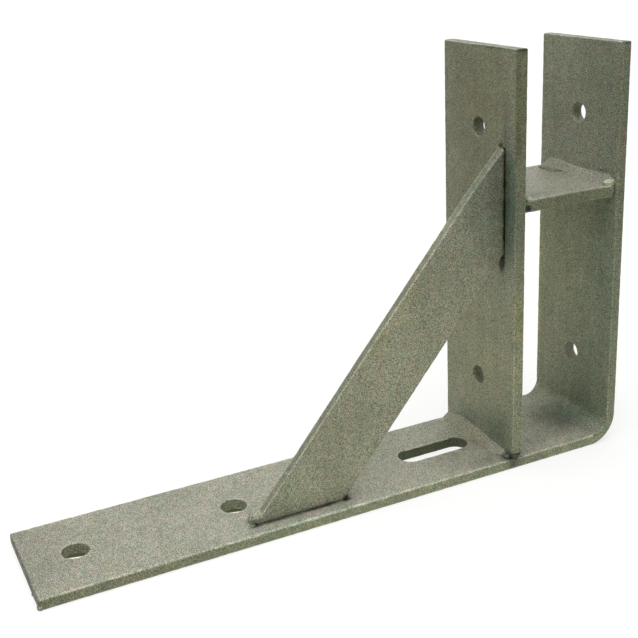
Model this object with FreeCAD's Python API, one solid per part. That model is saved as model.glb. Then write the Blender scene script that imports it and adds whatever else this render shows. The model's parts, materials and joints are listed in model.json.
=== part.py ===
import FreeCAD, Part
import math
import os

# Post anchor welded from flat steel bar and hot-dip galvanised. A long foot lies on
# the ground and is bent up at one end into the rear upright. A second upright stands
# on the foot in front of it, a bridge between the two carries the post, and a diagonal
# brace stiffens the front upright. Everything is held by fillet welds.
#
# Frame: +X runs from the free end of the foot to the bent end, +Y across the bar away
# from the brace, +Z up. The origin is on the ground under the middle of the foot.
# All sizes are in millimetres.

# Flat bar: the strap is the bar that is foot and rear upright in one
bar_width = 80.0
bar_thickness = 8.0
strap_thickness = 7.0
edge_round = 1.0

# Foot and uprights
foot_reach = 315.0
pocket_width = 71.0
front_height = 275.0
rear_height = 272.5
bend_inner_radius = 11.0
bend_thinning = 2.5
upright_foot_clip = 4.0

# Anchor holes and adjusting slot in the foot
anchor_hole_diameter = 16.5
anchor_hole_inset = 31.0
anchor_hole_spacing = 100.5
slot_width = 16.5
slot_length = 52.0
slot_weld_gap = 3.0

# Bolt holes through both uprights, and the rim that the punch draws in at every hole
bolt_hole_diameter = 12.5
lower_bolt_height = 54.0
upper_bolt_drop = 51.0
punch_rim = 0.5

# Bridge that the post stands on
post_pocket_depth = 92.5
bridge_inset = 1.5
bridge_corner_radius = 4.0

# Diagonal brace
brace_width = 46.0
brace_thickness = 6.0
brace_run = 180.5
brace_tip_drop = 56.5
brace_edge_offset = 11.8
brace_seam_gap = 1.1
brace_seam_depth = 3.5

# Welds: run is the leg on the carrying face, rise the leg on the standing piece
foot_weld_run = 8.0
foot_weld_rise = 5.0
bridge_weld_run = 6.0
bridge_weld_rise = 5.5
brace_weld_side_run = 5.0
brace_weld_rise = 5.0
brace_weld_toe_run = 8.0
brace_weld_end_run = 3.0
brace_weld_corner = 5.0
brace_weld_setback = 0.4
brace_weld_overrun = 2.0
weld_end_taper = 5.0
weld_shoulder_taper = 1.7

# Shares of a weld's full section: the bulge of its face, its shoulders and its ends
weld_crown = 0.56
weld_shoulder = 0.8
weld_end = 0.4

# Places that follow from the sizes
total_length = foot_reach + bar_thickness + pocket_width + strap_thickness
free_end_x = -total_length / 2
front_face_x = free_end_x + foot_reach
pocket_start_x = front_face_x + bar_thickness
pocket_end_x = pocket_start_x + pocket_width
rear_face_x = pocket_end_x + strap_thickness
half_width = bar_width / 2
foot_top_z = strap_thickness
bridge_top_z = front_height - post_pocket_depth
bolt_heights = (lower_bolt_height, front_height - upper_bolt_drop)
brace_toe_x = front_face_x - brace_run
brace_tip_z = front_height - brace_tip_drop
brace_near_y = -half_width + brace_edge_offset
brace_angle = math.atan2(brace_tip_z - foot_top_z, brace_run)

vector = FreeCAD.Vector
along_x = vector(1, 0, 0)
along_y = vector(0, 1, 0)
along_z = vector(0, 0, 1)


def polygon_face(points):
    return Part.Face(Part.makePolygon(points + points[:1]))


def rounded_block(low, high):
    """Block between two corners with every edge rounded as on galvanised bar."""
    size = high - low
    block = Part.makeBox(size.x, size.y, size.z, low)
    return block.makeFillet(edge_round, block.Edges)


def hole_cutter(diameter, start, direction, depth):
    """Round hole, widened at its start, where the punch went in."""
    radius = diameter / 2
    bore = Part.makeCylinder(radius, depth, start, direction)
    rim = Part.makeCone(radius + punch_rim, radius, punch_rim, start, direction)
    return bore.fuse(rim)


def slot_outline(centre_x, width, length, z):
    """Wire with two straight sides and two round ends, along X."""
    radius = width / 2
    reach = length / 2 - radius
    left, right = centre_x - reach, centre_x + reach
    near_side = Part.LineSegment(vector(left, -radius, z), vector(right, -radius, z))
    right_end = Part.Arc(
        vector(right, -radius, z), vector(right + radius, 0, z), vector(right, radius, z))
    far_side = Part.LineSegment(vector(right, radius, z), vector(left, radius, z))
    left_end = Part.Arc(
        vector(left, radius, z), vector(left - radius, 0, z), vector(left, -radius, z))
    return Part.Wire([side.toShape() for side in (near_side, right_end, far_side, left_end)])


def slot_cutter(centre_x, width, length, depth):
    """Slot through the foot with the same rim at its upper mouth as the round holes."""
    narrow = (centre_x, width, length)
    wide = (centre_x, width + 2 * punch_rim, length + 2 * punch_rim)
    through = Part.Face(slot_outline(*narrow, 0)).extrude(along_z * depth)
    rim = Part.makeLoft(
        [slot_outline(*narrow, depth - punch_rim), slot_outline(*wide, depth)], True, True)
    return through.fuse(rim)


def bolt_cutters(face_x, depth):
    """Bolt holes through the upright that reaches from face_x to face_x + depth."""
    return [
        hole_cutter(bolt_hole_diameter, vector(face_x, 0, height), along_x, depth)
        for height in bolt_heights
    ]


def base_strap():
    """Foot and rear upright in one bar, bent where they meet."""
    inner = bend_inner_radius
    outer = bend_inner_radius + strap_thickness + bend_thinning
    half_turn = math.sqrt(0.5)

    def corner(x, z):
        return vector(x, -half_width, z)

    outer_centre = corner(rear_face_x - outer, outer)
    inner_centre = corner(pocket_end_x - inner, foot_top_z + inner)
    diagonal = vector(half_turn, 0, -half_turn)
    outer_bend = Part.Arc(
        corner(rear_face_x - outer, 0), outer_centre + diagonal * outer, corner(rear_face_x, outer))
    inner_bend = Part.Arc(
        corner(pocket_end_x, foot_top_z + inner),
        inner_centre + diagonal * inner,
        corner(pocket_end_x - inner, foot_top_z))
    outline = [
        Part.LineSegment(corner(free_end_x, 0), outer_bend.StartPoint),
        outer_bend,
        Part.LineSegment(outer_bend.EndPoint, corner(rear_face_x, rear_height)),
        Part.LineSegment(corner(rear_face_x, rear_height), corner(pocket_end_x, rear_height)),
        Part.LineSegment(corner(pocket_end_x, rear_height), inner_bend.StartPoint),
        inner_bend,
        Part.LineSegment(inner_bend.EndPoint, corner(free_end_x, foot_top_z)),
        Part.LineSegment(corner(free_end_x, foot_top_z), corner(free_end_x, 0)),
    ]
    profile = Part.Face(Part.Wire([piece.toShape() for piece in outline]))
    bar = profile.extrude(along_y * bar_width)
    bar = bar.makeFillet(edge_round, bar.Edges)

    hole_x = free_end_x + anchor_hole_inset
    anchor_holes = [
        hole_cutter(anchor_hole_diameter, vector(x, 0, foot_top_z), along_z * -1, strap_thickness)
        for x in (hole_x, hole_x + anchor_hole_spacing)
    ]
    slot_x = front_face_x - foot_weld_run - slot_weld_gap - slot_length / 2
    slot = slot_cutter(slot_x, slot_width, slot_length, strap_thickness)
    return bar.cut(anchor_holes + [slot] + bolt_cutters(pocket_end_x, strap_thickness))


def front_upright():
    """Bar that stands on the foot, its near foot corner clipped."""
    plate = rounded_block(
        vector(front_face_x, -half_width, foot_top_z - 2 * edge_round),
        vector(pocket_start_x, half_width, front_height))
    below_foot = Part.makeBox(
        3 * bar_thickness, 2 * bar_width, bar_thickness,
        vector(front_face_x - bar_thickness, -bar_width, foot_top_z - bar_thickness))
    clip = polygon_face([
        vector(front_face_x, -half_width, foot_top_z),
        vector(front_face_x, -half_width + upright_foot_clip, foot_top_z),
        vector(front_face_x, -half_width, foot_top_z + upright_foot_clip)])
    clip = clip.extrude(along_x * bar_thickness)
    return plate.cut([below_foot, clip] + bolt_cutters(front_face_x, bar_thickness))


def bridge_plate():
    """Short length of bar between the uprights, its long edges and its corners rounded."""
    half = half_width - bridge_inset
    low = vector(pocket_start_x, -half, bridge_top_z - bar_thickness)
    bar = Part.makeBox(pocket_width, 2 * half, bar_thickness, low)
    long_edges = [edge for edge in bar.Edges if edge.BoundBox.XLength > edge_round]
    bar = bar.makeFillet(edge_round, long_edges)
    cut = Part.makeBox(pocket_width, 2 * half, bar_thickness, low)
    corner_edges = [edge for edge in cut.Edges if edge.BoundBox.ZLength > edge_round]
    return bar.common(cut.makeFillet(bridge_corner_radius, corner_edges))


def brace_bar():
    """Bar set on edge, cut off flush with the foot and with the front upright."""
    lengthwise = vector(math.cos(brace_angle), 0, math.sin(brace_angle))
    crosswise = vector(math.sin(brace_angle), 0, -math.cos(brace_angle))
    toe = vector(brace_toe_x, brace_near_y, foot_top_z)
    bar_length = brace_run / math.cos(brace_angle)
    start = toe - lengthwise * brace_width
    end = toe + lengthwise * (bar_length + brace_width)
    blank = polygon_face([
        start, start + crosswise * brace_width, end + crosswise * brace_width, end])
    bar = blank.extrude(along_y * brace_thickness)
    bar = bar.makeFillet(edge_round, bar.Edges)
    room = Part.makeBox(
        foot_reach, bar_width, front_height,
        vector(free_end_x, -half_width, foot_top_z))
    return bar.common(room)


def diagonal_brace():
    """Brace whose two sawn ends gape a little on the near side, where they are not welded."""
    toe = vector(brace_toe_x, brace_near_y, foot_top_z)
    head = vector(front_face_x, brace_near_y, foot_top_z)
    into = along_y * brace_seam_depth
    foot_gap = polygon_face([toe, toe + into, toe + along_z * brace_seam_gap])
    head_gap = polygon_face([head, head + into, head - along_x * brace_seam_gap])
    return brace_bar().cut([
        foot_gap.extrude(along_x * brace_run), head_gap.extrude(along_z * front_height)])


def straight_bead(corner, run_axis, rise_axis, run, rise, start_y, end_y):
    """Fillet weld along Y in the corner of two faces, thinning out at both ends."""
    def section(y, scale):
        seat = corner + along_y * y
        run_end = seat + run_axis * (run * scale)
        rise_end = seat + rise_axis * (rise * scale)
        crown = seat + (run_axis * run + rise_axis * rise) * (scale * weld_crown)
        return Part.Wire([
            Part.makeLine(seat, run_end),
            Part.Arc(run_end, crown, rise_end).toShape(),
            Part.makeLine(rise_end, seat)])

    sections = [
        section(start_y, weld_end),
        section(start_y + weld_shoulder_taper, weld_shoulder),
        section(start_y + weld_end_taper, 1),
        section(end_y - weld_end_taper, 1),
        section(end_y - weld_shoulder_taper, weld_shoulder),
        section(end_y, weld_end)]
    return Part.makeLoft(sections, True, True)


def upright_foot_weld():
    """Bead from the clipped corner to the far edge."""
    corner = vector(front_face_x, 0, foot_top_z)
    return straight_bead(
        corner, along_x * -1, along_z, foot_weld_run, foot_weld_rise,
        -half_width + upright_foot_clip, half_width - edge_round)


def bridge_weld(corner_x, direction):
    """Bead on top of the bridge against the upright at corner_x."""
    corner = vector(corner_x, 0, bridge_top_z)
    half_length = half_width - bridge_inset - bridge_corner_radius / 2
    return straight_bead(
        corner, along_x * direction, along_z, bridge_weld_run, bridge_weld_rise,
        -half_length, half_length)


def brace_weld(origin, lengthwise, outward, seam_length, lean, start_run, end_run):
    """Bead round one end of the brace: along its far side and round both corners.

    origin is the near end of the seam, lengthwise runs along the seam, outward stands
    on the face that the brace meets, and lean is how far the brace moves along the
    seam for each millimetre outward. The bead's sides run on into the brace, which
    then trims them.
    """
    def outline(height, start_growth, end_growth, side_growth):
        low_u = lean * height - start_growth
        high_u = lean * height + seam_length + end_growth
        low_v = edge_round + brace_weld_setback
        high_v = brace_thickness + side_growth
        corner = min(brace_weld_corner, (high_v - low_v) / 2)
        slack = corner * (1 - math.sqrt(0.5))

        def at(u, v):
            return origin + lengthwise * u + along_y * v + outward * height

        return Part.Wire([
            Part.makeLine(at(low_u, low_v), at(high_u, low_v)),
            Part.makeLine(at(high_u, low_v), at(high_u, high_v - corner)),
            Part.Arc(
                at(high_u, high_v - corner),
                at(high_u - slack, high_v - slack),
                at(high_u - corner, high_v)).toShape(),
            Part.makeLine(at(high_u - corner, high_v), at(low_u + corner, high_v)),
            Part.Arc(
                at(low_u + corner, high_v),
                at(low_u + slack, high_v - slack),
                at(low_u, high_v - corner)).toShape(),
            Part.makeLine(at(low_u, high_v - corner), at(low_u, low_v))])

    inward = -brace_weld_overrun
    top_height = brace_weld_rise * (1 + brace_weld_overrun / brace_weld_side_run)
    seat = outline(0, start_run, end_run, brace_weld_side_run)
    top = outline(top_height, inward, inward, inward)
    return Part.makeLoft([seat, top], True, True).cut(brace_bar())


def brace_foot_weld():
    origin = vector(brace_toe_x, brace_near_y, foot_top_z)
    seam = brace_width / math.sin(brace_angle)
    lean = 1 / math.tan(brace_angle)
    return brace_weld(
        origin, along_x, along_z, seam, lean, brace_weld_toe_run, brace_weld_end_run)


def brace_head_weld():
    seam = brace_width / math.cos(brace_angle)
    origin = vector(front_face_x, brace_near_y, brace_tip_z - seam)
    lean = -math.tan(brace_angle)
    return brace_weld(
        origin, along_z, along_x * -1, seam, lean, brace_weld_end_run, brace_weld_end_run)


nodes = {
    "base_strap": base_strap(),
    "front_upright": front_upright(),
    "bridge_plate": bridge_plate(),
    "diagonal_brace": diagonal_brace(),
    "upright_foot_weld": upright_foot_weld(),
    "bridge_front_weld": bridge_weld(pocket_start_x, 1),
    "bridge_rear_weld": bridge_weld(pocket_end_x, -1),
    "brace_foot_weld": brace_foot_weld(),
    "brace_head_weld": brace_head_weld(),
}

os.makedirs("parts", exist_ok=True)
for name, shape in nodes.items():
    shape.exportStep("parts/" + name + ".step")
    print(name, len(shape.Solids), shape.isValid(), round(shape.Volume, 1))
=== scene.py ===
import json
import math

import bmesh
import bpy
from mathutils import Matrix, Vector, noise


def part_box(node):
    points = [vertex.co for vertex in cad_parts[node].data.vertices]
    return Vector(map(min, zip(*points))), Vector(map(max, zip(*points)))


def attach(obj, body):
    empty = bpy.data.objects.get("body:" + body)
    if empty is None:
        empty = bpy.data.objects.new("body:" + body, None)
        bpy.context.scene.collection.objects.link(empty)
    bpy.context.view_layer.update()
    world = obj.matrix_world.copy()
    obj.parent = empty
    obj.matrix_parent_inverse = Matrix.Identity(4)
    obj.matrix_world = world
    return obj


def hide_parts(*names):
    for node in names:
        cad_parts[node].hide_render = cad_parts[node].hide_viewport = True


# Post anchor welded from flat bar and hot-dip galvanised: a foot that is bent up into the
# rear upright, a front upright, a bridge for the post, a diagonal brace and five weld beads.

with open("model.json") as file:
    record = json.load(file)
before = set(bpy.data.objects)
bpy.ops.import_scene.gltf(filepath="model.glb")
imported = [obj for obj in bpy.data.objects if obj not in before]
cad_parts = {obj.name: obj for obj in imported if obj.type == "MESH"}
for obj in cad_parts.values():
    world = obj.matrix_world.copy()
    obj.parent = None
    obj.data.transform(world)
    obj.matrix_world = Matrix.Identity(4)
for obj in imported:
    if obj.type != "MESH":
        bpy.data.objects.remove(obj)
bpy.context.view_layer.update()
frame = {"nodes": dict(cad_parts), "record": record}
scene = bpy.context.scene
MM = 0.001
TOUCH = 0.1 * MM
UP = Vector((0, 0, 1))

# Kinds of node that come up often, and their settings. A mix of colours takes its share at socket 0
# and the two colours at sockets 6 and 7.
MATH = "ShaderNodeMath"
VECTOR_MATH = "ShaderNodeVectorMath"
LEVELS = "ShaderNodeMapRange"
MIX = "ShaderNodeMix"
NOISE = "ShaderNodeTexNoise"
POSITION = "GeometryNodeInputPosition"
MOVE = "GeometryNodeSetPosition"
SOFT = {"interpolation_type": "SMOOTHSTEP"}
COLOUR = {"data_type": "RGBA", "out": 2}


# Helpers

def linear(code):
    """Linear colour of an sRGB hex code."""
    channels = [int(code[at:at + 2], 16) / 255 for at in (0, 2, 4)]
    return tuple(c / 12.92 if c <= 0.04045 else ((c + 0.055) / 1.055) ** 2.4 for c in channels) + (1.0,)


def per_metre(size_mm):
    """Texture scale at which one feature of a pattern is size_mm wide."""
    return 1 / (size_mm * MM)


def add(tree, kind, inputs=(), out=0, **settings):
    """Adds a node, sets or links its inputs, by name or in order, and gives one of its outputs."""
    made = tree.nodes.new(kind)
    for name, value in settings.items():
        setattr(made, name, value)
    for socket, value in inputs.items() if isinstance(inputs, dict) else enumerate(inputs):
        if isinstance(value, bpy.types.NodeSocket):
            tree.links.new(value, made.inputs[socket])
        else:
            made.inputs[socket].default_value = value
    return made.outputs[out] if made.outputs else None


def new_material(name):
    material = bpy.data.materials.new(name)
    material.use_nodes = True
    material.node_tree.nodes.clear()
    return material


def new_object(name, data):
    made = bpy.data.objects.new(name, data)
    scene.collection.objects.link(made)
    return made


def beside(corner, x, y, z):
    """Place at a distance in mm from a corner."""
    return corner + Vector((x, y, z)) * MM


# Places of the frame that the pieces below are set against
foot_low, foot_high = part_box("base_strap")
front_low, front_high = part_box("front_upright")
bridge_low, bridge_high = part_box("bridge_plate")
brace_low, brace_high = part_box("diagonal_brace")
foot_top = front_low.z
near_side = foot_low.y
brace_far = brace_high.y
brace_lean = (front_low.x - brace_low.x) / (brace_high.z - foot_top)
brace_points = [vertex.co for vertex in frame["nodes"]["diagonal_brace"].data.vertices]
heel_x = max(point.x for point in brace_points if point.z < foot_top + TOUCH)
head_low_z = min(point.z for point in brace_points if point.x > front_low.x - TOUCH)
mounts = {mount["name"]: Vector(mount["pos_m"]) for mount in frame["record"]["mounts"]}

# Forms of the brace in mm: how far its near face stands out and to what depth, how wide its open
# seams are and from what width they are narrowed, and how far its tip is bent down and over what reach
NEAR_SHIFT = 0.8
SHIFT_DEPTH = 3.0
SEAM_GAP = 0.4
OPEN_SEAM = 1.2
TIP_DROP = 3.2
TIP_REACH = 34.0
TIP_DEPTH = 45.0
brace_near = brace_low.y - NEAR_SHIFT * MM

free_corner = Vector((foot_low.x, near_side, 0))
foot_corner = Vector((front_low.x, 0, foot_top))
pit_corner = Vector((front_low.x, near_side, foot_top))
bend_corner = Vector((bridge_high.x, 0, foot_top))
front_edge = Vector(((front_low.x + front_high.x) / 2, near_side, front_high.z))
rear_edge = Vector(((bridge_high.x + foot_high.x) / 2, near_side, foot_high.z))
front_corner = Vector((bridge_low.x, 0, bridge_high.z))
rear_corner = Vector((bridge_high.x, 0, bridge_high.z))
toe_corner = Vector((brace_low.x, brace_near, foot_top))
heel_corner = Vector((heel_x, brace_near, foot_top))
tip_corner = Vector((front_low.x, brace_near, brace_high.z - TIP_DROP * MM))
low_corner = Vector((front_low.x, brace_near, head_low_z))


# Materials

# Patches of the coat, with real stains among them, and painted shade and painted light: centre, reach
# along each axis in mm, how dark it is (pale below zero) and how yellow it is (blue below zero)
PATCHES = (
    # Foot of the front upright: dark fringe above the bead, partly dark zinc and partly painted shade,
    # clouds on the foot, and painted shade in the pit at the near end and on the foot beside it
    (beside(foot_corner, 0, -24, 14), (3.5, 28, 22), 0.36, -0.5),
    (beside(foot_corner, 0, 10, 12), (3.5, 24, 12), 0.15, -0.4),
    (beside(foot_corner, -4, 0, 3), (9, 50, 7), 0.16, 0.4),
    (beside(foot_corner, -30, -8, -2), (55, 34, 10), 0.18, 0.0),
    (beside(foot_corner, -37, 26, 0), (34, 18, 4), -0.12, 0.0),
    (beside(pit_corner, 2, 3, -2), (11, 11, 10), 1.3, -0.3),
    (beside(pit_corner, -13, 8, 0), (20, 13, 4), 0.3, 0.0),
    # Front upright: painted shade on its upper face, with a yellow tinge, and on its top rim, upper near
    # edge and near top corner; painted light on its top, its lower face and its lower near edge; a pale
    # yellowish patch on the near edge
    (beside(front_edge, -4, 40, -40), (5, 80, 110), 0.2, 0.5),
    (beside(front_edge, -4, 25, -0.8), (1.6, 30, 1.6), 0.6, 0.0),
    (beside(front_edge, 0, 0, -40), (30, 1.4, 130), 0.38, 0.4),
    (beside(front_edge, 0, 40, 0.4), (6, 75, 1.6), -0.3, -0.6),
    (beside(front_edge, 0, 0, 0), (7, 3, 3), 0.8, 0.0),
    (beside(front_edge, -4, 40, -200), (5, 60, 60), -0.12, 0.4),
    (beside(front_edge, 0, 0, -166), (9, 4, 26), -0.2, 0.6),
    (beside(front_edge, 0, 0, -205), (9, 1.6, 90), -0.4, 0.1),
    # Top of the rear upright: painted shade on its upper near edge and near corner, painted light on its
    # top end
    (beside(rear_edge, 0, 0, -80), (30, 1.4, 120), 0.26, 0.2),
    (beside(rear_edge, 0, 40, 0.4), (6, 75, 1.6), -0.16, -0.6),
    (beside(rear_edge, 0, 0, 0), (7, 3, 3), 0.7, 0.0),
    # Brace: blue strip beside its head, a dark mark at its tip, painted shade on its upper part, near its
    # top and under its lower corner, and painted light on its middle, its upper edge and the toe lobe's
    # top
    (beside(tip_corner, 0, -6, -36), (9, 8, 58), 0.0, -2.0),
    (beside(tip_corner, 0, 0, -30), (45, 9, 75), 0.36, -0.3),
    (beside(tip_corner, 0, 5, 0.7), (3, 4, 2.4), 0.85, 1.0),
    (beside(low_corner, 0, 3, -6.5), (4, 5, 10), 1.3, -0.3),
    (beside(toe_corner, 90, 0, 110), (60, 9, 60), -0.06, 0.2),
    (beside(toe_corner, 115, 0, 85), (55, 9, 60), -0.12, 0.0),
    (beside(toe_corner, 150, 0, 180), (30, 9, 40), 0.1, 0.0),
    (beside(tip_corner, -40, 5, -35), (60, 6, 66), -0.5, 0.0),
    (beside(toe_corner, 2, 3, 6), (7, 5, 5), -0.25, 0.0),
    # Open seams of the brace: painted shade under the toe lobe and along the seams as dark lines, a
    # darker heel end, and painted light on the foot in front of them
    (beside(toe_corner, 0, -1, -0.2), (7, 3, 1.0), 0.8, 0.0),
    (beside(toe_corner, 16, -0.6, 0), (26, 1.6, 1.2), 1.0, 0.0),
    (beside(toe_corner, 46, -0.6, 0), (27, 1.6, 1.2), 1.1, 0.0),
    (beside(heel_corner, 1.6, 0, 0.4), (4.5, 4, 4), 1.2, 0.4),
    (beside(low_corner, 0, 0, 16), (1.2, 1.2, 28), 1.1, 0.0),
    (beside(low_corner, 0, 0, 51), (1.2, 1.2, 28), 0.95, 0.0),
    (beside(heel_corner, -30, -10, 0), (70, 6, 3), -0.2, -0.3),
    # Bend and the rear upright's inner face: painted shade low down in the bend, bluish tinges, and
    # painted light higher up and along edges
    (beside(bend_corner, 0, -16, 22), (9, 46, 52), 0.0, -0.5),
    (beside(bend_corner, -13, -2, 0), (32, 31, 8), 0.45, -0.4),
    (beside(bend_corner, -3, -8, 4), (12, 38, 12), 0.1, -0.4),
    (beside(bend_corner, -20, -40, -4), (55, 2.5, 7), -0.3, 0.0),
    (beside(bend_corner, -50, 20, 0), (34, 34, 4), -0.05, 0.7),
    (beside(bend_corner, 0, 40, 80), (5, 9, 150), -0.4, 0.8),
    (beside(bend_corner, -36, -34, 0), (34, 9, 3), -0.35, -0.2),
    (beside(bend_corner, 0, 10, 115), (9, 60, 100), -0.48, -0.1),
    (beside(bend_corner, 0, -32, 130), (9, 26, 140), 0.0, -0.6),
    # Foot: dark free end, bluish middle, and painted light along its near top edge and near side
    (beside(free_corner, 0, 40, 7), (40, 70, 9), 0.18, 0.0),
    (beside(free_corner, 0, 40, 3), (1.6, 120, 20), 0.7, 0.0),
    (beside(free_corner, 130, 40, 7), (100, 60, 6), 0.0, -0.1),
    (beside(free_corner, 190, 3, 7), (100, 7, 3), -0.16, -0.2),
    (beside(free_corner, 240, 0, 3), (230, 2, 8), -0.36, 0.0),
    # Bridge: painted highlights on its two knobs, painted shade in the pit under the front one and on its
    # near edge
    (beside(rear_corner, -4.5, -37, 1.5), (7, 5, 5), -1.4, 0.0),
    (beside(front_corner, 5.3, -38, 0), (4, 4, 3.5), -1.4, 0.0),
    (beside(front_corner, 2.4, -38.5, -5.2), (5, 3, 4.5), 1.1, 0.0),
    (beside(front_corner, 38, -38.5, -4), (46, 1.2, 9), 0.45, 0.3))

# Sizes of the coat's patterns in mm. Streaks are ten times longer upwards than they are wide.
CLOUD = 38
DRIFT = 22
PATCH = 8
FLECK = 6
STREAK = 6
STREAK_SQUEEZE = (1, 1, 0.1)
MOTTLE = 1.6
GRAIN = 0.7
GRAIN_DEPTH = 0.03
CRYSTAL = 0.42

# Colours of the coat: dark stains and painted shade, and the casts of painted shade and of darker rolled
# edges, yellow patches and blue patches
DARK_OLIVE = "1e2212"
SHADE_CAST = "cce0b8"
YELLOW_CAST = "fff8d6"
BLUE_CAST = "d4ecea"

# The grain is turned against the bars, so that no face runs along the grid of its texture
GRAIN_TURN = (0.5, 0.7, 0.3)


def paint(body):
    """Writes the patches of the coat, real stains and painted shade and light, into a mesh as attributes
    of how dark and how yellow it is.
    """
    stain_and_painted_light = body.verts.layers.float.new("stain_and_painted_light")
    tinge = body.verts.layers.float.new("tinge")
    for vertex in body.verts:
        for centre, reach, darkness, yellowness in PATCHES:
            away = sum(((vertex.co[axis] - centre[axis]) / (reach[axis] * MM)) ** 2 for axis in range(3))
            if away < 1:
                vertex[stain_and_painted_light] += darkness * (1 - away) ** 2
                vertex[tinge] += yellowness * (1 - away) ** 2


def galvanised_steel(name, light, dark, green, pink, lump_height):
    """Hot-dip galvanised steel: matt zinc with soft clouds, a green or pink cast in patches, crystal
    grains of slightly different tone and streaks where the bath ran off. The eye gets a matt grey with
    a fine sparkle, and a painted highlight on upper edges; painted shade and painted light also come in
    through the coat's dark and pale shares. The crystals are drawn coarser than real ones, as finer ones
    would not show.
    """
    material = new_material(name)
    tree = material.node_tree
    place = add(tree, "ShaderNodeTexCoord", out="Object")
    clouds = add(tree, NOISE, {"Vector": place, "Scale": per_metre(CLOUD), "Detail": 4.0})
    drifts = add(tree, NOISE, {"Vector": place, "Scale": per_metre(DRIFT), "Detail": 3.0})
    patches = add(tree, NOISE, {"Vector": place, "Scale": per_metre(PATCH), "Detail": 1.5})
    flecks = add(tree, NOISE, {"Vector": place, "Scale": per_metre(FLECK), "Detail": 0.5})
    turned = add(tree, "ShaderNodeVectorRotate", {"Vector": place, "Rotation": GRAIN_TURN},
                 rotation_type="EULER_XYZ")
    grain = add(tree, NOISE, {"Vector": turned, "Scale": per_metre(GRAIN), "Detail": 2.0})
    crystals = add(tree, "ShaderNodeTexVoronoi", {"Vector": turned, "Scale": per_metre(CRYSTAL)})
    crystals = crystals.node.outputs
    crystal_tone = add(tree, "ShaderNodeSeparateColor", (crystals["Color"],))
    runs = add(tree, VECTOR_MATH, (place, STREAK_SQUEEZE), operation="MULTIPLY")
    streaks = add(tree, NOISE, {"Vector": runs, "Scale": per_metre(STREAK), "Detail": 2.0})

    cloudy = add(tree, LEVELS, (clouds, 0.35, 0.65), **SOFT)
    zinc = add(tree, MIX, {0: cloudy, 6: linear(dark), 7: linear(light)}, **COLOUR)
    patchy = add(tree, LEVELS, (patches, 0.35, 0.65), **SOFT)
    cast = add(tree, MIX, {0: patchy, 6: linear(green), 7: linear(pink)}, **COLOUR)
    zinc = add(tree, MIX, {0: 0.35, 6: zinc, 7: cast}, **COLOUR)
    for share in (
            add(tree, LEVELS, (grain, 0.3, 0.7, 0.97, 1.03), **SOFT),
            add(tree, LEVELS, (crystal_tone, 0.0, 1.0, 0.5, 1.5)),
            add(tree, LEVELS, (crystals["Distance"], 0.1, 0.9, 1.9, 0.15)),
            add(tree, LEVELS, (streaks, 0.3, 0.7, 0.95, 1.05), **SOFT),
            add(tree, LEVELS, (drifts, 0.3, 0.7, 0.96, 1.04), **SOFT)):
        zinc = add(tree, VECTOR_MATH, {0: zinc, "Scale": share}, operation="SCALE")

    # Dark olive: painted shade in bores, crevices, open seams and some patches, a slight darkening on
    # rolled edges, and real stains; pale zinc in bare patches and painted light in other pale patches
    shade_and_dull = add(tree, "ShaderNodeAttribute", out="Fac", attribute_name="shade_and_dull")
    stain_and_painted_light = add(tree, "ShaderNodeAttribute", out="Fac", attribute_name="stain_and_painted_light")
    uneven = add(tree, LEVELS, (patches, 0.3, 0.7, 0.7, 1.2))
    blotch = add(tree, MATH, (stain_and_painted_light, uneven), operation="MULTIPLY")
    mottle = add(tree, NOISE, {"Vector": turned, "Scale": per_metre(MOTTLE), "Detail": 1.0})
    mottled = add(tree, LEVELS, (mottle, 0.3, 0.7, 0.85, 1.15))
    blotch = add(tree, MATH, (blotch, mottled), operation="MULTIPLY")
    pale = add(tree, MATH, (blotch, -1.0), operation="MULTIPLY", use_clamp=True)
    darkness = add(tree, MATH, (shade_and_dull, blotch), operation="MAXIMUM", use_clamp=True)
    gain = add(tree, LEVELS, (pale, 0.0, 1.0, 1.0, 1.75))
    zinc = add(tree, VECTOR_MATH, {0: zinc, "Scale": gain}, operation="SCALE")
    zinc = add(tree, MIX, {0: shade_and_dull, 6: zinc, 7: linear(SHADE_CAST)}, blend_type="MULTIPLY", **COLOUR)
    zinc = add(tree, MIX, {0: darkness, 6: zinc, 7: linear(DARK_OLIVE)}, **COLOUR)

    # Blue and yellow tinges, in fine flecks everywhere and strong in some patches
    tinge = add(tree, "ShaderNodeAttribute", out="Fac", attribute_name="tinge")
    fleck_hue = add(tree, LEVELS, (flecks, 0.3, 0.7, -0.2, 0.2))
    hue = add(tree, MATH, (tinge, fleck_hue), operation="ADD")
    yellow = add(tree, MATH, (hue, 1.0), operation="MULTIPLY", use_clamp=True)
    blue = add(tree, MATH, (hue, -1.0), operation="MULTIPLY", use_clamp=True)
    zinc = add(tree, MIX, {0: yellow, 6: zinc, 7: linear(YELLOW_CAST)}, blend_type="MULTIPLY", **COLOUR)
    zinc = add(tree, MIX, {0: blue, 6: zinc, 7: linear(BLUE_CAST)}, blend_type="MULTIPLY", **COLOUR)

    # Painted highlight on upper edges, strongest where they face up, broken up and kept off dark places
    edge = add(tree, "ShaderNodeAttribute", out="Fac", attribute_name="edge")
    normal = add(tree, "ShaderNodeNewGeometry", out="Normal")
    facing_up = add(tree, "ShaderNodeSeparateXYZ", (normal,), "Z")
    turned_up = add(tree, LEVELS, (facing_up, 0.3, 0.75), **SOFT)
    upper = add(tree, MATH, (edge, turned_up), operation="MULTIPLY")
    broken = add(tree, LEVELS, (patches, 0.38, 0.6, 0.4, 1.0), **SOFT)
    painted_highlight = add(tree, MATH, (upper, broken), operation="MULTIPLY")
    clean = add(tree, MATH, (1.0, darkness), operation="SUBTRACT")
    painted_highlight = add(tree, MATH, (painted_highlight, clean), operation="MULTIPLY")
    gain = add(tree, LEVELS, (painted_highlight, 0.0, 1.0, 1.0, 1.5))
    zinc = add(tree, VECTOR_MATH, {0: zinc, "Scale": gain}, operation="SCALE")

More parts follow.
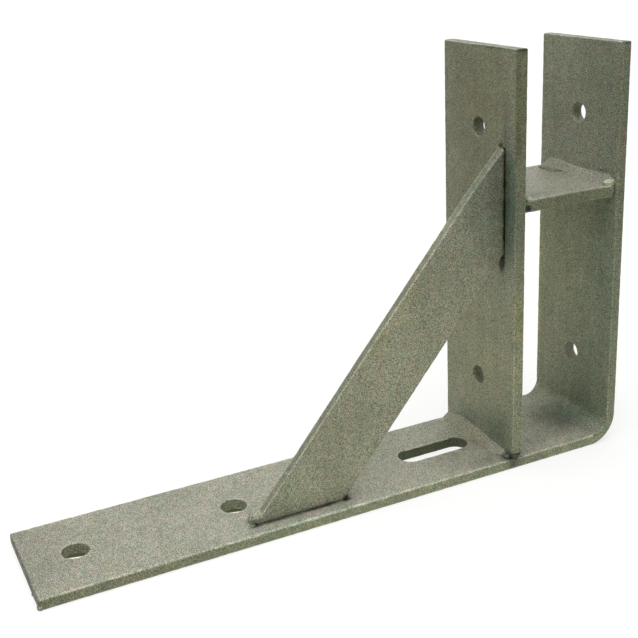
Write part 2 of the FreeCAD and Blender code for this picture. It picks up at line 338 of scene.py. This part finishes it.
    lumps = add(tree, "ShaderNodeBump", {"Strength": 1.0, "Distance": lump_height * MM, "Height": flecks})
    bump = add(tree, "ShaderNodeBump", {
        "Strength": 1.0, "Distance": GRAIN_DEPTH * MM, "Height": grain, "Normal": lumps})
    shader = add(tree, "ShaderNodeBsdfPrincipled", {
        "Base Color": zinc, "Metallic": 0.1, "Specular IOR Level": 0.3, "Normal": bump,
        "Roughness": add(tree, LEVELS, (patches, 0.3, 0.7, 0.45, 0.6))})
    add(tree, "ShaderNodeOutputMaterial", {"Surface": shader})
    return material


bar_zinc = galvanised_steel("hot_dip_galvanised_bar", "a3a294", "969789", "929b86", "a69990", 0.12)
weld_zinc = galvanised_steel("hot_dip_galvanised_weld", "9a998b", "8b8c7d", "88917e", "979282", 0.3)


# Bars: each is a copy of its CAD solid, cut into small cells and coated

CELL = 2.0 * MM
SHARP_ANGLE = math.radians(40)

# What counts as an edge: strips of a rounding, and folds that are not flat and are tight for their width
FILLET_STRIP = 0.6 * MM
FLAT_ANGLE = math.radians(9)
TIGHT_BEND = 0.3 / MM

# What tells a bar's other faces apart: widest rounding, widest rolled edge, longest face in a bore
WIDEST_ROUNDING = 2 * MM
WIDEST_EDGE = 9 * MM
BORE_LENGTH = 12 * MM

# Dark share of the coat: painted shade in open seams, crevices, the slot and bores, and a slight
# darkening on rolled edges and roundings
SEAM_SHADE = 0.95
CREVICE_SHADE = 0.85
SLOT_SHADE = 0.68
EDGE_DULL = 0.28
BORE_SHADE = 0.22
ROUNDING_DULL = 0.06


def coat_tree():
    """Geometry nodes that make a bar's zinc coat uneven, more so along its edges."""
    tree = bpy.data.node_groups.new("zinc_coat", "GeometryNodeTree")
    for name, kind in (
            ("Bar", "NodeSocketGeometry"), ("Wave Height", "NodeSocketFloat"),
            ("Wave Size", "NodeSocketFloat"), ("Edge Height", "NodeSocketFloat"),
            ("Edge Size", "NodeSocketFloat"), ("Finish", "NodeSocketMaterial")):
        tree.interface.new_socket(name, in_out="INPUT", socket_type=kind)
    tree.interface.new_socket("Coated", in_out="OUTPUT", socket_type="NodeSocketGeometry")
    given = add(tree, "NodeGroupInput").node.outputs
    place = add(tree, POSITION)
    normal = add(tree, "GeometryNodeInputNormal")
    edge = add(tree, "GeometryNodeInputNamedAttribute", {"Name": "edge"}, data_type="FLOAT")

    def unevenness(size, height):
        scale = add(tree, MATH, (1.0, size), operation="DIVIDE")
        waves = add(tree, NOISE, {"Vector": place, "Scale": scale, "Detail": 2.0, "Roughness": 0.5})
        level = add(tree, MATH, (waves, 0.5), operation="SUBTRACT")
        return add(tree, MATH, (level, height), operation="MULTIPLY")

    over_faces = unevenness(given["Wave Size"], given["Wave Height"])
    along_edges = unevenness(given["Edge Size"], given["Edge Height"])
    total = add(tree, MATH, (along_edges, edge, over_faces), operation="MULTIPLY_ADD")
    offset = add(tree, VECTOR_MATH, {0: normal, "Scale": total}, operation="SCALE")
    coated = add(tree, MOVE, {"Geometry": given["Bar"], "Offset": offset})
    coated = add(tree, "GeometryNodeRealizeInstances", {"Geometry": coated})
    coated = add(tree, "GeometryNodeSetMaterial", {"Geometry": coated, "Material": given["Finish"]})
    add(tree, "NodeGroupOutput", {"Coated": coated})
    return tree


def apply_tree(thing, tree, values):
    """Runs a geometry node tree on an object and keeps the result as its plain mesh."""
    modifier = thing.modifiers.new(tree.name, "NODES")
    modifier.node_group = tree
    for socket in tree.interface.items_tree:
        if socket.in_out == "INPUT" and socket.name in values:
            modifier[socket.identifier] = values[socket.name]
    graph = bpy.context.evaluated_depsgraph_get()
    mesh = bpy.data.meshes.new_from_object(thing.evaluated_get(graph))
    mesh.name = thing.name
    if thing.type == "MESH":
        thing.modifiers.remove(modifier)
        thing.data = mesh
        return thing
    name = thing.name
    bpy.data.objects.remove(thing)
    return new_object(name, mesh)


def cut_into_cells(body, low, high):
    """Cuts a mesh by planes one cell apart, and once more in line with the brace's near side."""
    planes = [(1, brace_near)]
    for axis in range(3):
        count = round((high - low)[axis] / CELL)
        planes += [(axis, low[axis] + (high - low)[axis] * step / count) for step in range(1, count)]
    for axis, level in planes:
        direction = Vector((0, 0, 0))
        direction[axis] = 1
        bmesh.ops.bisect_plane(
            body, geom=body.verts[:] + body.edges[:] + body.faces[:],
            plane_co=direction * level, plane_no=direction, dist=1e-7)


def under_brace(face):
    """Whether a face of another bar lies in the open seam under the brace."""
    middle = face.calc_center_median()
    if not brace_near < middle.y < brace_far:
        return False
    under_foot = abs(middle.z - foot_top) < TOUCH and brace_low.x < middle.x < heel_x
    behind_head = abs(middle.x - front_low.x) < TOUCH and head_low_z < middle.z < tip_corner.z
    return under_foot or behind_head


def breadth(face):
    """Mean width of a long face."""
    return 2 * face.calc_area() / sum(edge.calc_length() for edge in face.edges)


def shade_and_dullness(face):
    """Dark share of a bar's face: deep painted shade in crevices, strong painted shade in bores, a slight
    darkening on rolled edges.
    """
    wide = breadth(face)
    longest = max(edge.calc_length() for edge in face.edges)
    normal = face.normal
    middle = face.calc_center_median()
    if wide > WIDEST_ROUNDING and normal.y < -0.2 and (normal.z < -0.5 or normal.x > 0.5):
        return CREVICE_SHADE
    if longest < BORE_LENGTH or (abs(middle.y) < BORE_LENGTH and abs(normal.y) > 0.9):
        return BORE_SHADE if middle.z > foot_top or middle.x < 0 else SLOT_SHADE
    if wide > WIDEST_EDGE:
        return 0.0
    return EDGE_DULL if wide > WIDEST_ROUNDING else ROUNDING_DULL


def settle_brace(body):
    """Brings the brace's near face forward, narrows its open seams and bends its tip down."""
    for vertex in body.verts:
        depth = vertex.co.y - brace_low.y
        if depth < TOUCH:
            if vertex.co.z < foot_top + OPEN_SEAM * MM:
                vertex.co.z = foot_top + SEAM_GAP * MM
            if vertex.co.x > front_low.x - OPEN_SEAM * MM:
                vertex.co.x = front_low.x - SEAM_GAP * MM
        vertex.co.y -= NEAR_SHIFT * MM * max(0.0, 1 - depth / (SHIFT_DEPTH * MM))
        back = (front_low.x - vertex.co.x) / MM
        below = (brace_high.z - vertex.co.z) / MM - back / brace_lean
        share = max(0.0, 1 - back / TIP_REACH) ** 2 * max(0.0, 1 - below / TIP_DEPTH)
        vertex.co.z -= TIP_DROP * MM * share


def bar(name, node):
    """Bar with an uneven zinc coat in place of its CAD solid."""
    body = bmesh.new()
    body.from_mesh(frame["nodes"][node].data)
    bmesh.ops.remove_doubles(body, verts=body.verts, dist=0.002 * MM)
    bmesh.ops.dissolve_limit(
        body, angle_limit=math.radians(0.5), verts=body.verts[:], edges=body.edges[:])
    shade_and_dull = body.faces.layers.float.new("shade_and_dull")
    rounded = body.faces.layers.int.new("rounded")
    for face in body.faces:
        face[shade_and_dull] = shade_and_dullness(face)
        face[rounded] = breadth(face) < FILLET_STRIP
    low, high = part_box(node)
    cut_into_cells(body, low, high)
    bmesh.ops.dissolve_degenerate(body, dist=0.005 * MM, edges=body.edges[:])
    many_sided = [face for face in body.faces if len(face.verts) > 4]
    bmesh.ops.triangulate(body, faces=many_sided)
    if node == "diagonal_brace":
        settle_brace(body)
    else:
        # Painted shade on the faces in the open seam under the brace
        for face in filter(under_brace, body.faces):
            face[shade_and_dull] = SEAM_SHADE
    edge_layer = body.verts.layers.float.new("edge")
    for edge in body.edges:
        angle = edge.calc_face_angle(0)
        edge.smooth = angle < SHARP_ANGLE
        step = sum(face.calc_area() for face in edge.link_faces) / (2 * edge.calc_length())
        if angle > FLAT_ANGLE and angle / step > TIGHT_BEND:
            for corner in edge.verts:
                corner[edge_layer] = 1
    for face in body.faces:
        face.smooth = True
        if face[rounded]:
            for corner in face.verts:
                corner[edge_layer] = 1
    paint(body)
    mesh = bpy.data.meshes.new(name)
    body.to_mesh(mesh)
    body.free()
    thing = apply_tree(new_object(name, mesh), zinc_coat, {
        "Wave Height": 0.12 * MM, "Wave Size": 14 * MM,
        "Edge Height": 0.5 * MM, "Edge Size": 5 * MM, "Finish": bar_zinc})
    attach(thing, "root")
    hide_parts(node)


zinc_coat = coat_tree()
for bar_name, bar_node in (
        ("foot_and_rear_upright", "base_strap"), ("front_upright_bar", "front_upright"),
        ("bridge_bar", "bridge_plate"), ("brace_bar", "diagonal_brace")):
    bar(bar_name, bar_node)


# Weld beads: each follows a seam with a rippled fillet

COLUMNS = 16
STATIONS = 180
ROOT_DEPTH = 0.3 * MM
RIPPLE_LAG = 2.4
LOBE_ROUGHNESS = 0.16
LOBE_WAVES = 1.7


def bead_tree():
    """Geometry nodes that sweep a rippled fillet along a seam.

    The seam's curve radius widens or narrows the bead from place to place. The bead lies on the
    face with the given normal, on the right-hand side of the seam, and climbs along Standing.
    """
    tree = bpy.data.node_groups.new("weld_bead", "GeometryNodeTree")
    for name, kind in (
            ("Seam", "NodeSocketGeometry"), ("Face Normal", "NodeSocketVector"),
            ("Standing", "NodeSocketVector"), ("Corner Radius", "NodeSocketFloat"),
            ("Run", "NodeSocketFloat"), ("Rise", "NodeSocketFloat"), ("Hollowness", "NodeSocketFloat"),
            ("Start Length", "NodeSocketFloat"), ("End Length", "NodeSocketFloat"),
            ("Ripple Pitch", "NodeSocketFloat"), ("Ripple Height", "NodeSocketFloat"),
            ("Lump Height", "NodeSocketFloat"), ("Lump Size", "NodeSocketFloat"),
            ("Seed", "NodeSocketFloat"), ("Finish", "NodeSocketMaterial")):
        tree.interface.new_socket(name, in_out="INPUT", socket_type=kind)
    tree.interface.new_socket("Bead", in_out="OUTPUT", socket_type="NodeSocketGeometry")
    given = add(tree, "NodeGroupInput").node.outputs

    # A flat sheet, along the seam in X and across the bead in Y, from 0 to 1 both ways
    seam = add(tree, "GeometryNodeFilletCurve", {
        "Curve": given["Seam"], "Radius": given["Corner Radius"], "Limit Radius": True, "Count": 6},
        mode="POLY")
    length = add(tree, "GeometryNodeCurveLength", {"Curve": seam})
    sheet = add(tree, "GeometryNodeMeshGrid", {
        "Size X": 1.0, "Size Y": 1.0, "Vertices X": STATIONS, "Vertices Y": COLUMNS})
    shares = add(tree, VECTOR_MATH, (add(tree, POSITION), (0.5, 0.5, 0)), operation="ADD")
    spot = add(tree, "ShaderNodeSeparateXYZ", (shares,)).node.outputs
    swell = add(tree, "GeometryNodeInputRadius")
    sampled = add(tree, "GeometryNodeSampleCurve", {
        "Curves": seam, "Value": swell, "Factor": spot["X"]}, mode="FACTOR", use_all_curves=True)
    sampled = sampled.node.outputs
    outward = add(tree, VECTOR_MATH, (sampled["Tangent"], given["Face Normal"]),
                  operation="CROSS_PRODUCT")
    outward = add(tree, VECTOR_MATH, (outward,), operation="NORMALIZE")

    # Position across the bead: 0 at its toe on the carrying face, 1 on the standing piece.
    # The first and last columns close the section in the root of the seam.
    across = add(tree, LEVELS, (
        spot["Y"], 1 / (COLUMNS - 1), 1 - 1 / (COLUMNS - 1)), clamp=False)
    off_middle = add(tree, MATH, (across, 0.5), operation="SUBTRACT")
    off_middle = add(tree, MATH, (off_middle,), operation="ABSOLUTE")
    in_root = add(tree, MATH, (off_middle, 0.501), operation="GREATER_THAN")
    turn = add(tree, LEVELS, (across, 0.0, 1.0, 0.0, math.pi / 2))
    run_share = add(tree, MATH, (turn,), operation="COSINE", use_clamp=True)
    run_share = add(tree, MATH, (run_share, given["Hollowness"]), operation="POWER")
    rise_share = add(tree, MATH, (turn,), operation="SINE", use_clamp=True)
    rise_share = add(tree, MATH, (rise_share, given["Hollowness"]), operation="POWER")

    # Size along the bead: round ends and the swells that the seam's radius gives
    along = add(tree, MATH, (spot["X"], length), operation="MULTIPLY")
    left_over = add(tree, MATH, (length, along), operation="SUBTRACT")
    start_share = add(tree, MATH, (along, given["Start Length"]), operation="DIVIDE")
    end_share = add(tree, MATH, (left_over, given["End Length"]), operation="DIVIDE")
    from_end = add(tree, MATH, (start_share, end_share), operation="MINIMUM", use_clamp=True)
    turned = add(tree, MATH, (2.0, from_end), operation="SUBTRACT")
    end_scale = add(tree, MATH, (from_end, turned), operation="MULTIPLY", use_clamp=True)
    end_scale = add(tree, MATH, (end_scale,), operation="SQRT")
    size = add(tree, MATH, (end_scale, sampled["Value"]), operation="MULTIPLY")
    run = add(tree, MATH, (given["Run"], size), operation="MULTIPLY")
    run = add(tree, MATH, (run, run_share), operation="MULTIPLY")
    rise = add(tree, MATH, (given["Rise"], size), operation="MULTIPLY")
    rise = add(tree, MATH, (rise, rise_share), operation="MULTIPLY")

    # Ripples lag behind in the middle of the bead, as the pool froze last there
    bow = add(tree, MATH, (off_middle, off_middle), operation="MULTIPLY")
    beat = add(tree, MATH, (along, given["Ripple Pitch"]), operation="DIVIDE")
    drift = add(tree, MATH, (beat, 1 / 3, given["Seed"]), operation="MULTIPLY_ADD")
    wobble = add(tree, NOISE, {"W": drift, "Scale": 1.0, "Detail": 1.0}, noise_dimensions="1D")
    phase = add(tree, MATH, (bow, RIPPLE_LAG, wobble), operation="MULTIPLY_ADD")
    phase = add(tree, MATH, (phase, beat), operation="ADD")
    phase = add(tree, MATH, (phase, math.pi), operation="MULTIPLY")
    ripple = add(tree, MATH, (phase,), operation="SINE")
    ripple = add(tree, MATH, (ripple,), operation="ABSOLUTE")
    ripple = add(tree, MATH, (ripple, 0.6), operation="SUBTRACT")
    ripple = add(tree, MATH, (ripple, given["Ripple Height"]), operation="MULTIPLY")
    crown = add(tree, MATH, (run_share, rise_share), operation="MULTIPLY")
    crown = add(tree, MATH, (crown, 4.0), operation="MULTIPLY", use_clamp=True)
    crown = add(tree, MATH, (crown, end_scale), operation="MULTIPLY")
    ripple = add(tree, MATH, (ripple, crown), operation="MULTIPLY")

    # The sheet is laid along the seam, and its edges meet in the root
    climb = add(tree, VECTOR_MATH, (given["Standing"],), operation="NORMALIZE")
    bulge = add(tree, VECTOR_MATH, (outward, climb), operation="ADD")
    bulge = add(tree, VECTOR_MATH, (bulge,), operation="NORMALIZE")
    surface = add(tree, VECTOR_MATH, (outward, run, sampled["Position"]), operation="MULTIPLY_ADD")
    surface = add(tree, VECTOR_MATH, (given["Standing"], rise, surface), operation="MULTIPLY_ADD")
    surface = add(tree, VECTOR_MATH, (bulge, ripple, surface), operation="MULTIPLY_ADD")
    inward = add(tree, VECTOR_MATH, (outward, given["Face Normal"]), operation="ADD")
    root = add(tree, VECTOR_MATH, (inward, (-ROOT_DEPTH,) * 3, sampled["Position"]),
               operation="MULTIPLY_ADD")
    place = add(tree, MIX, {"Factor": in_root, 4: surface, 5: root}, out=1, data_type="VECTOR")
    bead_mesh = add(tree, MOVE, {"Geometry": sheet, "Position": place})
    bead_mesh = add(tree, "GeometryNodeMergeByDistance", {"Geometry": bead_mesh, "Distance": 0.005 * MM})

    # Lumps of the frozen pool and of the zinc over it
    lump_scale = add(tree, MATH, (1.0, given["Lump Size"]), operation="DIVIDE")
    lumps = add(tree, NOISE, {
        "Vector": add(tree, POSITION), "W": given["Seed"], "Scale": lump_scale, "Detail": 2.0},
        noise_dimensions="4D")
    lump = add(tree, MATH, (lumps, 0.5), operation="SUBTRACT")
    lump = add(tree, MATH, (lump, given["Lump Height"]), operation="MULTIPLY")
    normal = add(tree, "GeometryNodeInputNormal")
    offset = add(tree, VECTOR_MATH, {0: normal, "Scale": lump}, operation="SCALE")
    bead_mesh = add(tree, MOVE, {"Geometry": bead_mesh, "Offset": offset})
    bead_mesh = add(tree, "GeometryNodeRealizeInstances", {"Geometry": bead_mesh})
    bead_mesh = add(tree, "GeometryNodeSetMaterial", {"Geometry": bead_mesh, "Material": given["Finish"]})
    add(tree, "NodeGroupOutput", {"Bead": bead_mesh})
    return tree


weld_bead = bead_tree()


def add_lobe(body, centre, reach):
    """Adds a rough rounded lump of weld or zinc to a mesh. The reach along each axis is in mm."""
    made = bmesh.ops.create_icosphere(body, subdivisions=4, radius=1.0)
    for vertex in made["verts"]:
        direction = vertex.co.copy()
        rough = 1 + LOBE_ROUGHNESS * noise.noise(direction * LOBE_WAVES + centre / MM)
        vertex.co = centre + Vector([direction[axis] * reach[axis] * MM * rough for axis in range(3)])


def bead(name, node, seam, normal, standing, run, rise, corner=0.0, hollowness=1.8, ends=(4, 4),
         ripple=0.35, lobes=(), seed=0.0):
    """Weld bead along a seam of (point, swell) pairs, in place of its CAD solid. Sizes are in mm."""
    curve = bpy.data.curves.new(name, "CURVE")
    curve.dimensions = "3D"
    spline = curve.splines.new("POLY")
    spline.points.add(len(seam) - 1)
    for point, (place, swell) in zip(spline.points, seam):
        point.co = (*place, 1)
        point.radius = swell
    thing = apply_tree(new_object(name, curve), weld_bead, {
        "Face Normal": normal, "Standing": standing, "Corner Radius": corner * MM,
        "Run": run * MM, "Rise": rise * MM, "Hollowness": hollowness,
        "Start Length": ends[0] * MM, "End Length": ends[1] * MM,
        "Ripple Pitch": 2.2 * MM, "Ripple Height": ripple * MM,
        "Lump Height": 0.7 * MM, "Lump Size": 4 * MM, "Seed": seed, "Finish": weld_zinc})
    body = bmesh.new()
    body.from_mesh(thing.data)
    for centre, reach in lobes:
        add_lobe(body, centre, reach)
    bmesh.ops.recalc_face_normals(body, faces=body.faces)
    paint(body)
    for face in body.faces:
        face.smooth = True
        face.material_index = 0
    body.to_mesh(thing.data)
    body.free()
    thing.data.materials.clear()
    thing.data.materials.append(weld_zinc)
    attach(thing, "root")
    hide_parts(node)


def straight_seam(start, end, swells):
    """Seam from start to end with one point for each swell."""
    steps = len(swells) - 1
    return [(start.lerp(end, step / steps), swell) for step, swell in enumerate(swells)]


bead("foot_bead", "upright_foot_weld",
     straight_seam(beside(foot_corner, 0, 39.6, 0), beside(foot_corner, 0, -33.5, 0),
                   (0.5, 0.75, 1.2, 1.25, 1.15, 1.0, 0.9, 0.8, 0.7, 0.6)),
     UP, UP, run=8, rise=6, hollowness=1.75, ends=(0.4, 4), ripple=0.15, seed=1, lobes=(
         # Lobes at the near end fill the pit, and the pit's patch paints shade on them
         (beside(pit_corner, -1.0, 4.5, 0.9), (2.4, 2.2, 1.6)),
         (beside(pit_corner, 3.2, 1.9, 1.0), (3.2, 1.7, 2.2)),
         (beside(pit_corner, 6.3, 2.0, 0.6), (1.6, 1.4, 1.6))))

bead("bridge_rear_bead", "bridge_rear_weld",
     straight_seam(beside(rear_corner, 0, 36, 0), beside(rear_corner, 0, -38, 0),
                   (0.9, 1.25, 1.3, 1.1, 0.95, 0.9, 0.95, 1.0, 0.95)),
     UP, UP, run=7.5, rise=5.6, hollowness=2.3, ends=(6, 5), ripple=0.15, seed=2, lobes=(
         (beside(rear_corner, -4, 21, 0.6), (5.6, 13, 3.4)),
         (beside(rear_corner, -3.8, -35.8, 1.0), (4.2, 2.8, 2.6)),
         (beside(rear_corner, -1.4, -36.4, -3.5), (2.0, 1.9, 5.2)),
         (beside(rear_corner, 0, -24, 8), (0.9, 1.0, 1.0)),
         (beside(rear_corner, 0, -27, 8.5), (0.9, 0.9, 0.9))))
bead("bridge_front_bead", "bridge_front_weld",
     straight_seam(beside(front_corner, 0, -36, 0), beside(front_corner, 0, 36, 0),
                   (1.0, 1.1, 0.9, 1.2, 1.0, 0.9, 1.1, 1.0)),
     UP, UP, run=6, rise=5.5, seed=3, lobes=(
         (beside(front_corner, 4.6, -36.6, -0.2), (3.2, 2.4, 2.0)),))

bead("brace_foot_bead", "brace_foot_weld", [
    (beside(heel_corner, 0, 1, 0), 0.7),
    (Vector((heel_x, brace_far, foot_top)), 0.9),
    (Vector((brace_low.x, brace_far, foot_top)), 1.0),
    (beside(toe_corner, 0, 1.5, 0), 1.2)],
    UP, Vector((brace_lean, 0, 1)), run=5, rise=4.5, corner=1.6, ends=(3, 3), seed=4, lobes=(
        (beside(toe_corner, 2.9, 3.6, 3.2), (6.2, 3.7, 3.9)),
        (beside(heel_corner, 0.5, 2.4, 1.2), (3.2, 2.3, 2.0))))
bead("brace_head_bead", "brace_head_weld", [
    (beside(tip_corner, 0, 3, 0), 0.35),
    (Vector((front_low.x, brace_far, tip_corner.z)), 0.6),
    (Vector((front_low.x, brace_far, head_low_z)), 1.0),
    (beside(low_corner, 0, 1, 0), 0.7)],
    Vector((-1, 0, 0)), Vector((-1, 0, -1 / brace_lean)),
    run=5, rise=4.5, corner=1.6, ends=(3, 3), seed=5)


def zinc_drops():
    """Drops of zinc that froze where the bath ran off the free end."""
    body = bmesh.new()
    add_lobe(body, beside(free_corner, 1.2, 1.4, 1.8), (1.9, 1.8, 2.3))
    add_lobe(body, beside(free_corner, 0.9, 17, 1.0), (1.3, 2.2, 1.3))
    for face in body.faces:
        face.smooth = True
    mesh = bpy.data.meshes.new("zinc_drops")
    body.to_mesh(mesh)
    body.free()
    mesh.materials.append(bar_zinc)
    drops = new_object("zinc_drops", mesh)
    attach(drops, "root")


zinc_drops()


# Floor, light and camera

# Sizes on the floor in mm: where the painted shade along a hole's far wall starts and is full, how far
# from the hole's axis it ends, and the painted pool of light with its centre, its even part and its rim
FAR_SIDE = (0.25, 0.97, 0)
SHADE_START = 3.6
SHADE_FULL = 4.6
SHADE_REACH = 11.0
SHADE_END = 12.0
POOL_CENTRE = Vector((100, -50, 0)) * MM
POOL_EVEN = 200
POOL_RIM = 500


def shown_rays(tree):
    """1 for rays that show a surface: from the camera, in a reflection or through something clear."""
    path = add(tree, "ShaderNodeLightPath").node.outputs
    shown = add(tree, MATH, (path["Is Camera Ray"], path["Is Glossy Ray"]), operation="MAXIMUM")
    return add(tree, MATH, (shown, path["Is Transmission Ray"]), operation="MAXIMUM")


def stage_floor():
    """White floor with the part's soft shadow on it and deep painted shade along the anchor holes' far
    walls.
    For the light it throws back, it has a painted pool of light around the uprights on a dim studio
    floor.
    """
    body = bmesh.new()
    bmesh.ops.create_grid(body, x_segments=1, y_segments=1, size=12)
    mesh = bpy.data.meshes.new("floor")
    body.to_mesh(mesh)
    body.free()
    floor = new_object("floor", mesh)
    floor.location.z = -0.05 * MM
    material = new_material("pale_floor")
    tree = material.node_tree
    place = add(tree, "ShaderNodeTexCoord", out="Object")
    shade = 0.0
    for name in ("anchor_hole_outer", "anchor_hole_inner"):
        offset = add(tree, VECTOR_MATH, (place, mounts[name] * Vector((1, 1, 0))), operation="SUBTRACT")
        depth = add(tree, VECTOR_MATH, (offset, FAR_SIDE), 1, operation="DOT_PRODUCT")
        reach = add(tree, VECTOR_MATH, (offset,), 1, operation="LENGTH")
        far_wall = add(tree, LEVELS, (depth, SHADE_START * MM, SHADE_FULL * MM), **SOFT)
        in_hole = add(tree, LEVELS, (reach, SHADE_REACH * MM, SHADE_END * MM, 1.0, 0.0), **SOFT)
        shade = add(tree, MATH, (far_wall, in_hole, shade), operation="MULTIPLY_ADD")
    # Painted shade in the anchor holes, in the floor's colour for rays that show it
    seen = add(tree, MIX, {0: shade, 6: linear("ffffff"), 7: linear("4c543a")}, **COLOUR)
    # Painted pool of light, in the floor's colour for the light it throws back
    from_pool = add(tree, VECTOR_MATH, (place, POOL_CENTRE), 1, operation="DISTANCE")
    pool = add(tree, LEVELS, (from_pool, POOL_EVEN * MM, POOL_RIM * MM), **SOFT)
    lit = add(tree, MIX, {0: pool, 6: linear("f4f6d8"), 7: linear("32322a")}, **COLOUR)
    shown = shown_rays(tree)
    colour = add(tree, MIX, {0: shown, 6: lit, 7: seen}, **COLOUR)
    matt = add(tree, "ShaderNodeBsdfDiffuse", {"Color": colour})
    glow = add(tree, "ShaderNodeEmission", {"Color": seen, "Strength": 1.05})
    share = add(tree, MATH, (shown, 0.65), operation="MULTIPLY")
    surface = add(tree, "ShaderNodeMixShader", (share, matt, glow))
    add(tree, "ShaderNodeOutputMaterial", {"Surface": surface})
    mesh.materials.append(material)


def sky():
    """White studio to look at, and for the light a dim olive room, brighter overhead and behind."""
    world = bpy.data.worlds.new("studio")
    scene.world = world
    world.use_nodes = True
    tree = world.node_tree
    tree.nodes.clear()
    direction = add(tree, "ShaderNodeTexCoord")
    spot = add(tree, "ShaderNodeSeparateXYZ", (direction,)).node.outputs
    room = add(tree, MIX, {0: spot["Z"], 6: linear("51734a"), 7: linear("8a9480")}, **COLOUR)
    behind = add(tree, LEVELS, (spot["Y"], 0.1, 0.9))
    room = add(tree, MIX, {0: behind, 6: room, 7: linear("a0b490")}, **COLOUR)
    colour = add(tree, MIX, {0: shown_rays(tree), 6: room, 7: linear("ffffff")}, **COLOUR)
    background = add(tree, "ShaderNodeBackground", {"Color": colour, "Strength": 1.0})
    add(tree, "ShaderNodeOutputWorld", {"Surface": background})


def soft_sun():
    """Wide soft light from overhead, a little from the front."""
    lamp = bpy.data.lights.new("soft_overhead", "SUN")
    lamp.energy = 2.55
    lamp.color = linear("fff6ff")[:3]
    lamp.angle = math.radians(70)
    sun = new_object("soft_overhead", lamp)
    sun.rotation_euler = (math.radians(11), math.radians(-6), 0)


def camera():
    """Camera that looks down on the brace's side from the free end, with a slight lens shift."""
    lens = bpy.data.cameras.new("camera")
    lens.sensor_width = 36
    lens.lens = 60.774
    lens.shift_x = -0.01035
    lens.shift_y = -0.03091
    view = new_object("camera", lens)
    place = Vector((-266.82, -566.92, 350.70)) * MM
    forward = Vector((0.404172, 0.852730, -0.330902))
    right = Vector((0.895632, -0.442399, -0.046109))
    turn = Matrix((right, right.cross(forward), -forward)).transposed()
    view.matrix_world = Matrix.Translation(place) @ turn.to_4x4()
    scene.camera = view


stage_floor()
sky()
soft_sun()
camera()
scene.view_settings.view_transform = "Standard"
